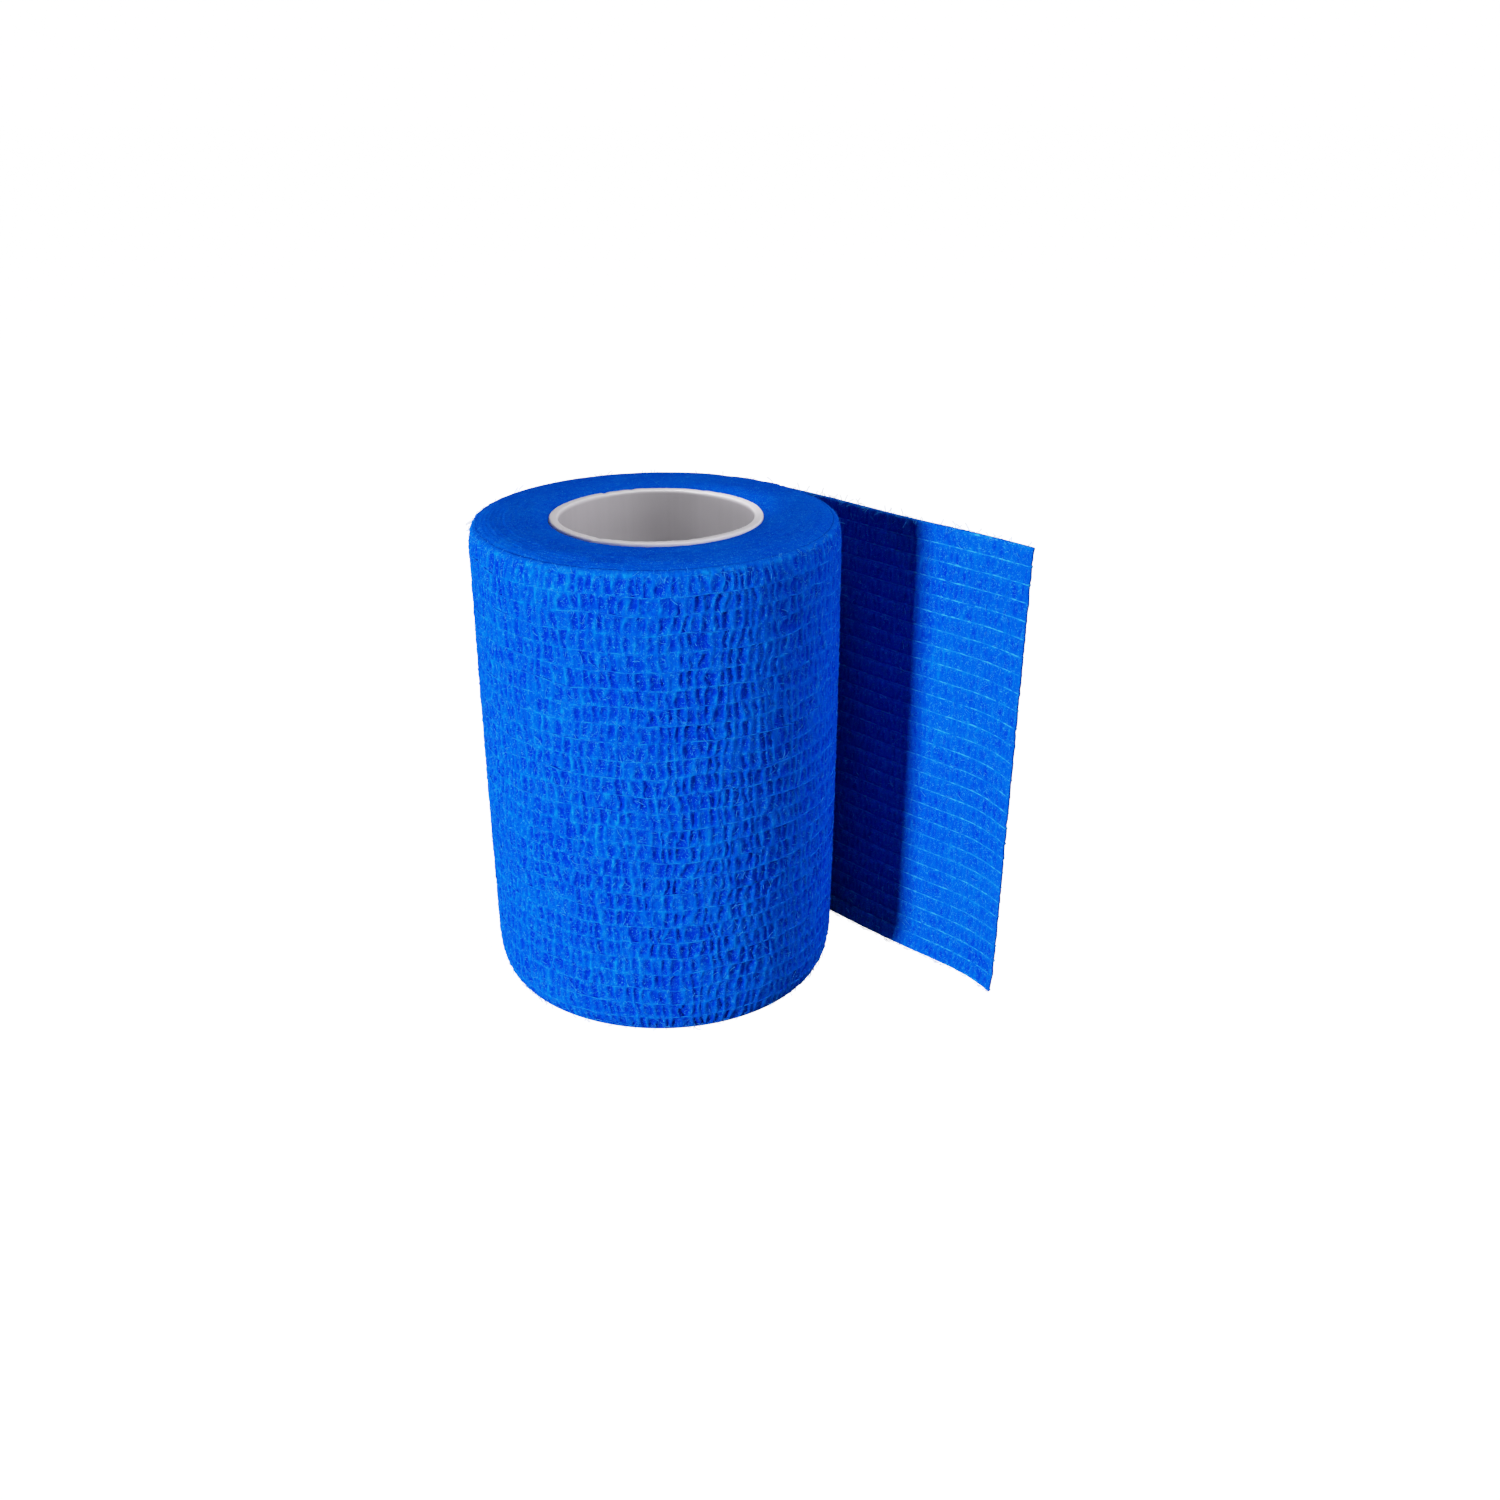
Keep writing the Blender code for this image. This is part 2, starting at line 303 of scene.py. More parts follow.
END_ROWS = 66                # across each end
TURN_COLUMNS = 500           # round the roll
HIDDEN_HEIGHTS = (0.0012, 0.003, FOOT_ROUND_HIGH, 0.02, 0.04, 0.06, 0.072)
BORE_HEIGHTS = (0.073, 0.05, 0.025, 0.002)
CREPE_BLUE = (0.0002, 0.0745, 0.60)
PUCKER_SHADE_BLUE = (0.0001, 0.0250, 0.46)  # painted shade, at the bottom of a pucker
CREST_HIGHLIGHT_BLUE = (0.0015, 0.150, 0.72)   # painted highlight, on a rib's crest
LINT_BLUE = (0.03, 0.30, 0.76)
STRIP_WRINKLES = (2300.0, 420.0, 1.0)      # scale of the fine wrinkles, along and across
EDGE_WRINKLES = (1100.0, 1100.0, 1100.0)
FELT_SCALE = 5200.0
PATCH_SCALE = 130.0
SPECK_SCALE = 3400.0


def foot_inset(height):
    """How far the foot's rounding draws the side in at a height: a quarter of an ellipse."""
    drop = np.clip((FOOT_ROUND_HIGH - height) / FOOT_ROUND_HIGH, 0.0, 1.0)
    return FOOT_ROUND_IN * (1.0 - np.sqrt(1.0 - drop ** 2))


def settled(turn):
    """How much of the foot's rounding the strip has, away from the leaving line."""
    ease = np.clip(turn / SETTLE_TURN, 0.0, 1.0)
    return LEAVE_FOOT_SHARE + (1.0 - LEAVE_FOOT_SHARE) * ease ** 2 * (3.0 - 2.0 * ease)


def roll_radius(turn, height):
    """Radius of the wound strip's outer face, turn being 0 on the leaving line and 1 a whole
    turn back: a spiral, slimmer at the foot, leaning in at the head, with a slight bulge and
    wobble."""
    angle = LEAVE_ANGLE + 2.0 * math.pi * turn
    level = height / ROLL_HEIGHT
    bulge = np.clip(np.cos(angle - BULGE_ANGLE), 0.0, 1.0) ** 2 * np.sin(math.pi * level)
    wobble = np.sin(WOBBLE_WAVES * (angle - LEAVE_ANGLE)) * np.sin(math.pi * level + turn)
    lean = np.clip(1.0 - (LOOSE_TOP - height) / RIM_DRAWN_HIGH, 0.0, 1.2) ** 2
    lean = RIM_DRAWN_IN * lean * np.clip(turn / SETTLE_TURN, 0.0, 1.0)
    return (ROLL_RADIUS - TURN_STEP * turn - FOOT_TAPER * (1.0 - level) + SIDE_BULGE * bulge
            + WOBBLE * wobble - settled(turn) * foot_inset(height) - lean)


def head_height(inset, turn):
    """Height of the head at a distance in from the side: a quarter of an ellipse, then flat.
    Near the leaving line the outer turn's top stays low, level with the turn under it."""
    ease = np.clip(turn / SETTLE_TURN, 0.0, 1.0)
    start = TURN_STEP * (1.0 - ease ** 2 * (3.0 - 2.0 * ease))
    share = np.clip((inset - start) / HEAD_ROUND_IN, 0.0, 1.0)
    return LOOSE_TOP + (ROLL_HEIGHT - LOOSE_TOP) * np.sqrt(1.0 - (1.0 - share) ** 2)


def at_turn(turn, radius, height):
    """Places by angle round the roll, radius and height."""
    angle = LEAVE_ANGLE + 2.0 * math.pi * turn
    return np.stack(np.broadcast_arrays(AXIS[0] + radius * np.cos(angle),
                                        AXIS[1] + radius * np.sin(angle), height), axis=-1)


def crepe_cloth(name, on_strip):
    """Blue crepe non-woven: painted shade, a deeper blue, in the puckers, a painted highlight on
    the ribs' crests, fine wrinkles across the strip, a felt of fibres, and specks of pale lint. A
    strip's pattern follows the strip, and that of the turns' edges lies in space."""
    finish, start, shader = new_finish(name, Specular_IOR_Level=0.0)
    if on_strip:
        place = start.node("UVMap", uv_map="strip")
        stretch = STRIP_WRINKLES
    else:
        place = start.node("TexCoord", out=3)
        stretch = EDGE_WRINKLES
    wrinkled = start.node("VectorMath", {0: place, 1: stretch}, operation="MULTIPLY")
    wrinkles = start.node("TexNoise", {"Vector": wrinkled, "Scale": 1.0, "Detail": 3.0,
                                       "Distortion": 0.6})
    felt = start.node("TexNoise", {"Vector": place, "Scale": FELT_SCALE, "Detail": 2.0})
    patches = start.node("TexNoise", {"Vector": place, "Scale": PATCH_SCALE, "Detail": 3.0})
    lint = start.node("TexNoise", {"Vector": place, "Scale": SPECK_SCALE, "Detail": 0.0,
                                   "Distortion": 2.0})
    pucker = start.node("Attribute", out=2, attribute_name="dimple")
    depth = pucker + (wrinkles - 0.5) * 1.0 + (patches - 0.5) * 0.9 + (felt - 0.5) * 0.7
    # Painted shade: the deeper in a pucker, the deeper the blue; painted highlight: paler on a
    # crest.
    cloth = depth.step(-0.10, 0.85).colour(CREPE_BLUE, PUCKER_SHADE_BLUE)
    crest = (0.0 - depth).step(0.0, 0.85)
    cloth = crest.colour(cloth, CREST_HIGHLIGHT_BLUE)
    speck = lint.step(0.65, 0.73) * 0.5
    speck.colour(cloth, LINT_BLUE).into(shader.inputs["Base Color"])
    (0.74 + 0.2 * felt).into(shader.inputs["Roughness"])
    relief = wrinkles * 0.7 + felt * 0.3
    bump = start.node("Bump", {"Height": relief, "Strength": 0.7, "Distance": 0.00014})
    bump.into(shader.inputs["Normal"])
    return finish


def wound_points():
    """A closed ring. Its outline goes out along the foot, up the side that the outer turn hides,
    in along the head and down the bore; a point's depth in from the side, counted in turns,
    gives the groove between two turns and its turn's own height."""
    turn = np.linspace(0.0, 1.0, TURN_COLUMNS, endpoint=False)[None, :]
    under = TURN_STEP * (1.0 - np.clip(turn / STEP_TURN, 0.0, 1.0))
    bore = TUBE_RADIUS + FIT_GAP
    inwards = np.linspace(0.0, 1.0, END_ROWS)[:, None]
    rows, dimples = [], []

    def end_face(side, at_head):
        radius = side + (bore - side) * inwards
        inset = roll_radius(turn, LOOSE_TOP if at_head else 0.0) - radius
        count = (inset + TURN_STEP * turn) / TURN_STEP
        groove = np.abs(np.cos(math.pi * count)) ** 6
        patches = uneven(31 + at_head, (radius * np.cos(2 * math.pi * turn), EDGE_PATCH),
                         (radius * np.sin(2 * math.pi * turn), EDGE_PATCH))
        own = np.sin(2.4 * np.floor(count + 0.5) ** 2) + patches
        down = EDGE_GROOVE * groove + EDGE_RAGGED * np.abs(own)
        sunk = BORE_DIP * np.clip(1.0 - (radius - bore) / BORE_DIP_WIDE, 0.0, 1.0) ** 2
        full = head_height(inset, turn) - sunk if at_head else 0.0 * radius
        rows.append(at_turn(turn, radius, full - down if at_head else full + down))
        # Painted shade: the grooves between turns, and the turns that lie lower, are painted a
        # deeper blue.
        dimples.append(0.10 * groove + 0.05 * np.abs(own) - 0.1)

    side_low = roll_radius(turn, 0.0) - TURN_STEP - TURN_GAP - under
    side_high = roll_radius(turn, LOOSE_TOP) - TURN_STEP - TURN_GAP - under
    end_face(side_low, False)
    rows[0], dimples[0] = rows[0][::-1], dimples[0][::-1]
    for height in HIDDEN_HEIGHTS:
        side = roll_radius(turn, height) - TURN_STEP - TURN_GAP - under
        rows.append(at_turn(turn, side, height))
        dimples.append(np.ones_like(side))
    end_face(side_high, True)
    angle = LEAVE_ANGLE + 2.0 * math.pi * turn
    tight = TUBE_RADIUS + tube_swell(np.cos(angle), np.sin(angle)) + TIGHT_GAP
    for height in BORE_HEIGHTS:
        rows.append(at_turn(turn, tight, height))
        dimples.append(np.ones_like(turn))
    return np.concatenate(rows), np.concatenate(dimples)


points, dimple = wound_points()
edge_cloth = crepe_cloth("crepe_edges", on_strip=False)
wound_turns = closed_piece("wound_turns", points, grid_quads(*points.shape[:2], True, True),
                           edge_cloth, dimple=dimple)
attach(wound_turns, "root")
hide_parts("bandage")


# ---------------------------------------------------------------------------------------------
# The outer turn: the last turn of the strip, seen face on. Two webs of thin non-woven lie either
# side of elastic threads that draw them in, so between two threads the cloth stands up in
# upright ribs with puckers between them. It is made as three bands that meet under a thread.

CELLS = 27                   # rows of puckers, one between each two threads
CELL = (LOOSE_TOP - LOOSE_FOOT) / CELLS
CELL_STEPS = (0.0, 0.075, 0.23, 0.41, 0.59, 0.77, 0.925)   # the grid's lines across a row
BANDS = (("outer_turn_lower", 0, 9), ("outer_turn_middle", 9, 18), ("outer_turn_upper", 18, 27))
ROLL_COLUMNS = 850
HIDDEN_TURN = 0.968          # here the loose end starts to cover the strip
HIDDEN_TURNS = (0.98, 0.99, 1.0, 1.0 + STEP_TURN / 2, 1.0 + STEP_TURN)
WALL = 0.00068               # thickness of the outer turn
PUCKER = 0.00142             # from one rib to the next, on the roll
PUCKER_DEPTH = 0.00031
RIB_HEIGHT = 0.00010
PINCH = 0.00003              # how far a thread draws the face in ...
PINCH_WIDE = 0.00022         # ... and how far up and down from it
SEAM_FLAT = 0.0030           # the puckers die away this near the leaving line
DRAWN_TURN = 0.634           # the strip is drawn together more round this place, in front ...
DRAWN_LEVEL = 11.0
DRAWN_WIDE = 0.10            # ... over this part of a turn and these rows ...
DRAWN_HIGH = 16.0
DRAWN_LEAST = 0.88           # ... from this share of the puckers' depth, by this much more
DRAWN_MORE = 0.38
EDGE_LIFT = 0.00006          # the felted edge stands up by this much, more or less
EDGE_LIFT_VARIES = 0.00004
EDGE_SHARES = (0.05, 0.2, 0.45, 0.75, 1.0, 1.25)   # its rows, in thicknesses in from the face
FOOT_BACKS = (0.009, 0.004, 0.0015, 0.0003, 0.0)   # heights of the lowest rows, on the back ...
FOOT_FACES = (0.0, 0.00008, 0.00018)               # ... and on the face
FOOT_FADE = (-0.02, 0.23)    # the puckers die away at the foot, between these rows ...
START_FADE = 0.02            # ... and over this part of a turn, where the turn begins
BAND_LAP = 0.0001            # the bands' hidden backs stop this far short of their seams
SWAYS = ((0.00017, 0.012, 5.0), (0.00007, 0.0028, 1.2))    # see strays()
WARPS = ((0.00036, 0.0060, 4.0), (0.00013, 0.0018, 0.6))
SWAY_ROWS = 1.5              # the strip's edges hold the threads straight over these rows
PULLED_LENGTH = 0.008        # the stretched loose end straightens them, along this length ...
PULLED_SWAY = 0.2            # ... until this share of their straying is left
ROLL_ROUND = 2.0 * math.pi * (ROLL_RADIUS - TURN_STEP / 2)


def strays(seed, table, along, level):
    """The sum of several unevennesses of the strip. A row of the table gives how far one strays,
    over what length along the strip it changes, and over how many rows of puckers."""
    return sum(far * uneven(seed + number, (along, length), (level, rows))
               for number, (far, length, rows) in enumerate(table))


def sway(along, level):
    """How far the threads and all that lies between them stray up or down: slow waves along the
    strip, less where the loose end is stretched, and none at the strip's two edges."""
    free = np.clip(np.minimum(level, CELLS - level) / SWAY_ROWS, 0.0, 1.0)
    pulled = np.clip(1.0 - along / PULLED_LENGTH, PULLED_SWAY, 1.0)
    return free * strays(41, SWAYS, along, level) * pulled


def crepe(along, level, seed, pitch, depth, rib):
    """The crepe's height over the strip's mean face, and how deep in a pucker a point lies:
    1 at a pucker's bottom, below 0 on a rib's crest. Every cell between two threads holds a row
    of puckers at about the same pitch. Their places are warped together, so ribs run on from
    row to row, and shifted a little row by row. Each pucker has its own depth, width, slant and
    reach, and closes as it gets to the threads; between two of them stands a narrow crest."""
    rng = np.random.default_rng(seed)
    rows, places = CELLS + 1, 256
    shift = np.cumsum(rng.normal(0.0, 0.16, rows) + (rng.random(rows) < 0.2) * rng.random(rows))
    strength = rng.uniform(0.2, 1.0, (rows, places)) ** 0.55
    half_width = rng.uniform(0.36, 0.56, (rows, places))
    middle = 0.5 + rng.normal(0.0, 0.08, (rows, places))
    slant = rng.normal(0.0, 0.10, (rows, places))
    reach = rng.uniform(0.86, 1.42, (rows, places))
    lift = rng.normal(0.0, 0.06, (rows, places))
    crest_strength = rng.uniform(0.3, 1.1, (rows, places))

    cell = np.clip(np.floor(level), 0, CELLS - 1).astype(int)
    inside = level - cell
    count = (along + strays(seed + 1, WARPS, along, level)) / pitch + shift[cell]
    number = np.floor(count).astype(int)
    key = (cell, number % places)
    beside = np.abs(count - number - middle[key] - slant[key] * (inside - 0.5)) / half_width[key]
    trough = np.clip(1.0 - beside ** 2.6, 0.0, 1.0) ** 1.4
    within = np.abs(2.0 * (inside - 0.5 - lift[key])) / reach[key]
    trough = trough * np.clip(1.0 - within ** 3.0, 0.0, 1.0) * strength[key]
    patchy = np.clip(0.88 + 0.16 * uneven(seed + 3, (along, 0.007), (level, 3.0)), 0.70, 1.15)
    rough = uneven(seed + 4, (along, 0.0007), (level, 0.30), waves=24)
    trough = np.clip(trough * patchy * (1.0 + 0.25 * rough), 0.0, 1.0)
    to_thread = np.minimum(inside, 1.0 - inside) * CELL
    pinched = np.exp(-(to_thread / PINCH_WIDE) ** 2)
    nearest = (cell, np.round(count).astype(int) % places)
    broken = np.clip(0.6 + 0.7 * uneven(seed + 6, (along, 0.0008), (level, 0.35)), 0.0, 1.2)
    crest = np.exp(-((count - np.round(count)) / 0.12) ** 2) * crest_strength[nearest] * broken
    knots = pinched * np.clip(0.2 + 0.6 * uneven(seed + 5, (along, 0.0010), (level, 0.5)), 0.0, 1.0)
    crest = np.maximum(crest * (1.0 - 0.5 * pinched), knots) * (1.0 - trough)
    height = (rib * (0.5 + 0.4 * rough + 0.6 * crest) * (1.0 - trough) - depth * trough
              - PINCH * pinched * (1.0 - 0.5 * trough))
    # The second value becomes painted shade in the puckers and a painted highlight on the crests.
    return height, trough - 0.7 * crest + 0.12 * rough


def flat_place(along, level):
    """A point's place on the flat strip, in metres, for the cloth's pattern."""
    return np.stack(np.broadcast_arrays(along, LOOSE_FOOT + level * CELL), axis=-1)


def outer_band(first_cell, last_cell):
    """One band of the outer turn, a thin closed wall. Its outline at each column goes up its
    face, over the rounded edge if it has the strip's head, down its back, and round the foot if
    it has that; the columns follow the spiral back from the leaving line."""
    shown = np.linspace(0.0, HIDDEN_TURN, ROLL_COLUMNS)
    turn = np.concatenate([shown, HIDDEN_TURNS])[None, :]
    along = -turn * ROLL_ROUND
    level = np.arange(first_cell, last_cell)[:, None] + np.array(CELL_STEPS)
    level = np.append(level.ravel(), last_cell)[:, None].astype(float)
    relief, trough = crepe(along, level, 51, PUCKER, PUCKER_DEPTH, RIB_HEIGHT)
    fade = np.clip(-along / SEAM_FLAT, 0.0, 1.0) * np.clip((1.0 - turn) / START_FADE, 0.0, 1.0)
    low, high = FOOT_FADE
    fade = fade * np.clip((level - low) / (high - low), 0.0, 1.0)
    drawn = np.exp(-((turn - DRAWN_TURN) / DRAWN_WIDE) ** 2
                   - ((level - DRAWN_LEVEL) / DRAWN_HIGH) ** 2)
    fade = fade * (DRAWN_LEAST + DRAWN_MORE * drawn)
    relief, trough = relief * fade, trough * fade
    height = LOOSE_FOOT + level * CELL + sway(along, level)
    wall = WALL * (1.0 - np.clip((turn - 1.0) / STEP_TURN, 0.0, 0.9))
    rows = [at_turn(turn, roll_radius(turn, height) + relief, height)]
    dimples = [trough]
    levels = [level[:, 0]]

    def plain_row(radius, row_height, shade, row_level):
        rows.append(at_turn(turn, radius, row_height + 0.0 * turn))
        dimples.append(shade + 0.0 * turn)
        levels.append(np.array([row_level]))

    if last_cell == CELLS:
        for share in EDGE_SHARES:
            inset = wall * share
            lifted = EDGE_LIFT + EDGE_LIFT_VARIES * uneven(61, (along, 0.0011))
            ribbed = max(0.0, 1.0 - share) ** 2
            plain_row(roll_radius(turn, LOOSE_TOP) - inset + ribbed * relief[-1:],
                      head_height(inset, turn) + (1.0 - share) * lifted,
                      ribbed * trough[-1:] - 0.05, CELLS + 0.4 * share)
        plain_row(roll_radius(turn, LOOSE_TOP) - wall, LOOSE_TOP - BAND_LAP, 0.0, CELLS + 0.6)
    middle_height = LOOSE_FOOT + (first_cell + last_cell) / 2 * CELL
    back_heights = [LOOSE_FOOT + last_cell * CELL - BAND_LAP, middle_height,
                    LOOSE_FOOT + first_cell * CELL + BAND_LAP]
    if first_cell == 0:
        back_heights[2:] = FOOT_BACKS
    for row_height in back_heights:
        plain_row(roll_radius(turn, row_height) - wall, row_height, 1.0, CELLS + 1.0)
    if first_cell == 0:
        # The rows at the very foot, where the roll meets the table, get painted shade.
        for row_height in FOOT_FACES:
            plain_row(roll_radius(turn, row_height), row_height, 0.2, -0.1)
    points = np.concatenate(rows)
    strip = flat_place(along, np.concatenate(levels)[:, None])
    count, columns = points.shape[:2]
    loop = np.arange(count)
    caps = [loop * columns, (loop * columns + columns - 1)[::-1]]
    return points, grid_quads(count, columns, rows_meet=True), caps, strip, np.concatenate(dimples)


strip_cloth = crepe_cloth("crepe_strip", on_strip=True)
for name, first, last in BANDS:
    points, quads, caps, strip, dimple = outer_band(first, last)
    band = closed_piece(name, points, quads, strip_cloth, caps, strip, dimple)
    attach(band, "root")
    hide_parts("bandage")


# ---------------------------------------------------------------------------------------------
# The loose end: the last 48 mm of the strip, peeled off and standing straight out. Stretched
# flat, its puckers are finer and shallower; the threads pinch its two webs together. It was cut
# clean across with scissors, and its lower corner curls towards the front.

LOOSE_LENGTH_TOP = 0.0488
LOOSE_LENGTH_FOOT = 0.0484
CURL_LENGTH = 0.009
CURL_DEPTH = 0.0014
RIPPLE = 0.00018
RIPPLE_LENGTH = 0.033
LOOSE_THICKNESS = 0.00070
THREAD_THICKNESS = 0.00044   # of the webs where a thread pinches them together
THREAD_PINCH_WIDE = 0.00020
CUT_THICKNESS = 0.00034      # where the scissors pressed them together
CUT_PRESSED = 0.0007         # how far in from the cut
CUT_RAGGED = 0.00005
WEB_EDGE = 0.00014           # the webs' edges stand this far out from the outermost lines
LOOSE_SETTLE = 0.008         # the cloth gets its full thickness this far from the roll
LOOSE_COLUMNS = 196
FINE_PUCKER = 0.00105
FINE_DEPTH = 0.00011
FINE_RIB = 0.00005
PATTERN_SHIFT = 0.2          # between the cloth patterns of the outer face and the inner one
THREAD_DIP = 0.0010          # the threads sag this far at the cut, midway up ...
DIP_LENGTH = 0.009           # ... over this length before it ...
DIP_LEVEL = 0.47             # ... and round this part of the height, over this much of it
DIP_HIGH = 0.22


def loose_offset(along, height):
    """Distance of the loose end's outer face from the roll's axis, along the leaving line's
    radius: straight, with a slow ripple, and a curl towards the front near its lower corner."""
    past_bend = np.clip((along - (LOOSE_LENGTH_FOOT - CURL_LENGTH)) / CURL_LENGTH, 0.0, None)
    lowness = np.clip(1.0 - height / ROLL_HEIGHT, 0.0, 1.0)
    ripple = RIPPLE * np.sin(2.0 * math.pi * along / RIPPLE_LENGTH)
    return roll_radius(0.0, height) + ripple - CURL_DEPTH * past_bend ** 2 * lowness ** 0.6


def loose_middle(along, height):
    """Distance of the sheet's middle from the roll's axis, half a thickness in from that face."""
    thickness = WALL + (LOOSE_THICKNESS - WALL) * np.clip(along / LOOSE_SETTLE, 0.0, 1.0)
    return loose_offset(along, height) - thickness / 2


def loose_length(level):
    """Length from the leaving line to the cut, which isn't quite square."""
    return LOOSE_LENGTH_FOOT + (LOOSE_LENGTH_TOP - LOOSE_LENGTH_FOOT) * level / CELLS


def from_leaving_line(along, offset, height):
    """Places by distance out from the leaving line, offset from the axis, and height."""
    x = AXIS[0] + offset * math.cos(LEAVE_ANGLE) + along * math.sin(LEAVE_ANGLE)
    y = AXIS[1] + offset * math.sin(LEAVE_ANGLE) - along * math.cos(LEAVE_ANGLE)
    return np.stack(np.broadcast_arrays(x, y, height), axis=-1)


def loose_height(along, level):
    """Height of a level of the strip on the loose end, with the threads' dip before the cut."""
    near_cut = np.clip((along - (LOOSE_LENGTH_FOOT - DIP_LENGTH)) / DIP_LENGTH, 0.0, 1.0)
    midway = np.exp(-((level / CELLS - DIP_LEVEL) / DIP_HIGH) ** 2)
    return (LOOSE_FOOT + level * CELL + sway(along, level)
            - THREAD_DIP * near_cut ** 2 * midway)


def half_thickness(along, level):
    """Half the loose end's thickness: thinner at the root and at the cut, and, once it is clear
    of the roll, at the threads."""
    settle = np.clip(along / LOOSE_SETTLE, 0.0, 1.0)
    full = WALL + (LOOSE_THICKNESS - WALL) * settle ** 2 * (3.0 - 2.0 * settle)
    from_cut = np.clip((along[:, -1:] - along) / CUT_PRESSED, 0.0, 1.0)
    full = CUT_THICKNESS + (full - CUT_THICKNESS) * np.sqrt(from_cut * (2.0 - from_cut))
    to_thread = np.abs(level - np.round(level)) * CELL
    pinched = np.exp(-(to_thread / THREAD_PINCH_WIDE) ** 2) * np.clip(along / SEAM_FLAT, 0.0, 1.0)
    return (full + (np.minimum(THREAD_THICKNESS, full) - full) * pinched) / 2


def loose_points():
    """The loose end as a thin closed wall. At each column its outline goes up the outer face and
    down the inner one, each with its own puckers, about a middle that follows the flat sheet."""
    level = np.arange(CELLS)[:, None] + np.array(CELL_STEPS)
    level = np.append(level.ravel(), CELLS)[:, None].astype(float)
    share = np.append(np.linspace(0.0, 0.9985, LOOSE_COLUMNS), 1.0)[None, :]
    cut = CUT_RAGGED * uneven(71, (level, 0.35)) * share ** 20
    along = share * loose_length(level) + cut
    height = loose_height(along, level)
    middle = loose_middle(along, height)
    half = half_thickness(along, level)
    clear = np.clip(along / SEAM_FLAT, 0.0, 1.0)
    flat = clear * np.clip((along[:, -1:] - along) / CUT_PRESSED, 0.0, 1.0)
    pale = clear * (0.08 + 0.08 * np.cos(2.0 * math.pi * level))
    faces, dimples = [], []
    for seed, out in ((81, 1.0), (91, -1.0)):
        relief, trough = crepe(along, level, seed, FINE_PUCKER, FINE_DEPTH, FINE_RIB)
        faces.append(from_leaving_line(along, middle + out * (half + relief * flat), height))
        dimples.append(0.48 * trough * flat - pale)
    lower = from_leaving_line(along[:1], middle[:1], height[:1] - WEB_EDGE)
    upper = from_leaving_line(along[-1:], middle[-1:], height[-1:] + WEB_EDGE)
    points = np.concatenate([faces[0], upper, faces[1][::-1], lower])
    shade = np.concatenate([dimples[0], 0 * along[-1:], dimples[1][::-1], 0 * along[:1]])
    strip = np.concatenate([flat_place(along, level), flat_place(along[-1:], level[-1:] + 0.1),
                            flat_place(along + PATTERN_SHIFT, level)[::-1],
                            flat_place(along[:1] + PATTERN_SHIFT, level[:1] - 0.1)])
    return points, strip, shade


def ladder(face_rows, columns, column):
    """Faces that close a thin wall's end, from rung to rung between its two faces, with a
    three-sided one at its top and bottom. The wall's outline is one face, a point, the other
    face and a point."""
    rung = np.arange(face_rows - 1)
    back = 2 * face_rows - rung
    quads = np.stack([rung, rung + 1, back - 1, back], axis=1) * columns + column
    ends = [np.array([face_rows - 1, face_rows, face_rows + 1]) * columns + column,
            np.array([2 * face_rows + 1, 0, 2 * face_rows]) * columns + column]
    return quads, ends


points, strip, dimple = loose_points()
loops, columns = points.shape[:2]
face_rows = (loops - 2) // 2
root_quads, root_ends = ladder(face_rows, columns, 0)
cut_quads, cut_ends = ladder(face_rows, columns, columns - 1)
caps = [*root_quads, *root_ends, *cut_quads[:, ::-1], *(end[::-1] for end in cut_ends)]
loose_end = closed_piece("loose_end", points, grid_quads(loops, columns, rows_meet=True),
                         strip_cloth, caps, strip, dimple)
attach(loose_end, "root")
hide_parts("bandage")


# ---------------------------------------------------------------------------------------------
# The elastic threads: fine pale-blue stretch yarns laid along the strip, 2.7 mm apart, that show
# as thin light lines where the web lies close over them. They come and go on the roll, and run
# on to the cut of the loose end.

THREAD_RADIUS = 0.00010
LOOSE_THREAD_RADIUS = 0.00027   # with the web that the thread lifts
THREAD_STEP = 0.00055        # from one ring of a thread's points to the next
THREAD_SINK = 0.00006        # how deep a thread's middle lies under the face, on the roll
THREAD_WANDER = 0.00006
LOOSE_WANDER = 0.00002
EDGE_THREAD = 0.06           # the outermost threads lie this part of a row in from the edges
ROLL_THREAD = ((0.0004, 0.080, 0.62), (0.004, 0.165, 0.70))   # dull and bright stretches
LOOSE_THREAD = ((0.002, 0.14, 0.70), (0.02, 0.26, 0.75))


def tubes(lines, radius, sides, outwards):
    """Joined round strings along many lines at once. lines are places, string by station; at
    each station a ring stands across the string, worked out from its direction and from the
    given outward direction. A flat cap closes each end."""
    ahead = np.gradient(lines, axis=1)
    ahead /= np.linalg.norm(ahead, axis=-1, keepdims=True)
    sideways = np.cross(ahead, outwards)
    sideways /= np.linalg.norm(sideways, axis=-1, keepdims=True)
    up = np.cross(sideways, ahead)
    angle = np.arange(sides) * 2.0 * math.pi / sides
    ring = (np.cos(angle)[:, None] * up[:, :, None] + np.sin(angle)[:, None] * sideways[:, :, None])
    points = lines[:, :, None] + radius * ring
    strings, stations = lines.shape[:2]
    one = grid_quads(stations, sides, columns_meet=True)
    first = np.arange(strings) * stations * sides
    quads = (first[:, None, None] + one).reshape(-1, 4)
    near = first[:, None] + np.arange(sides)
    far = (near + (stations - 1) * sides)[:, ::-1]
    return points, quads, list(near) + list(far)


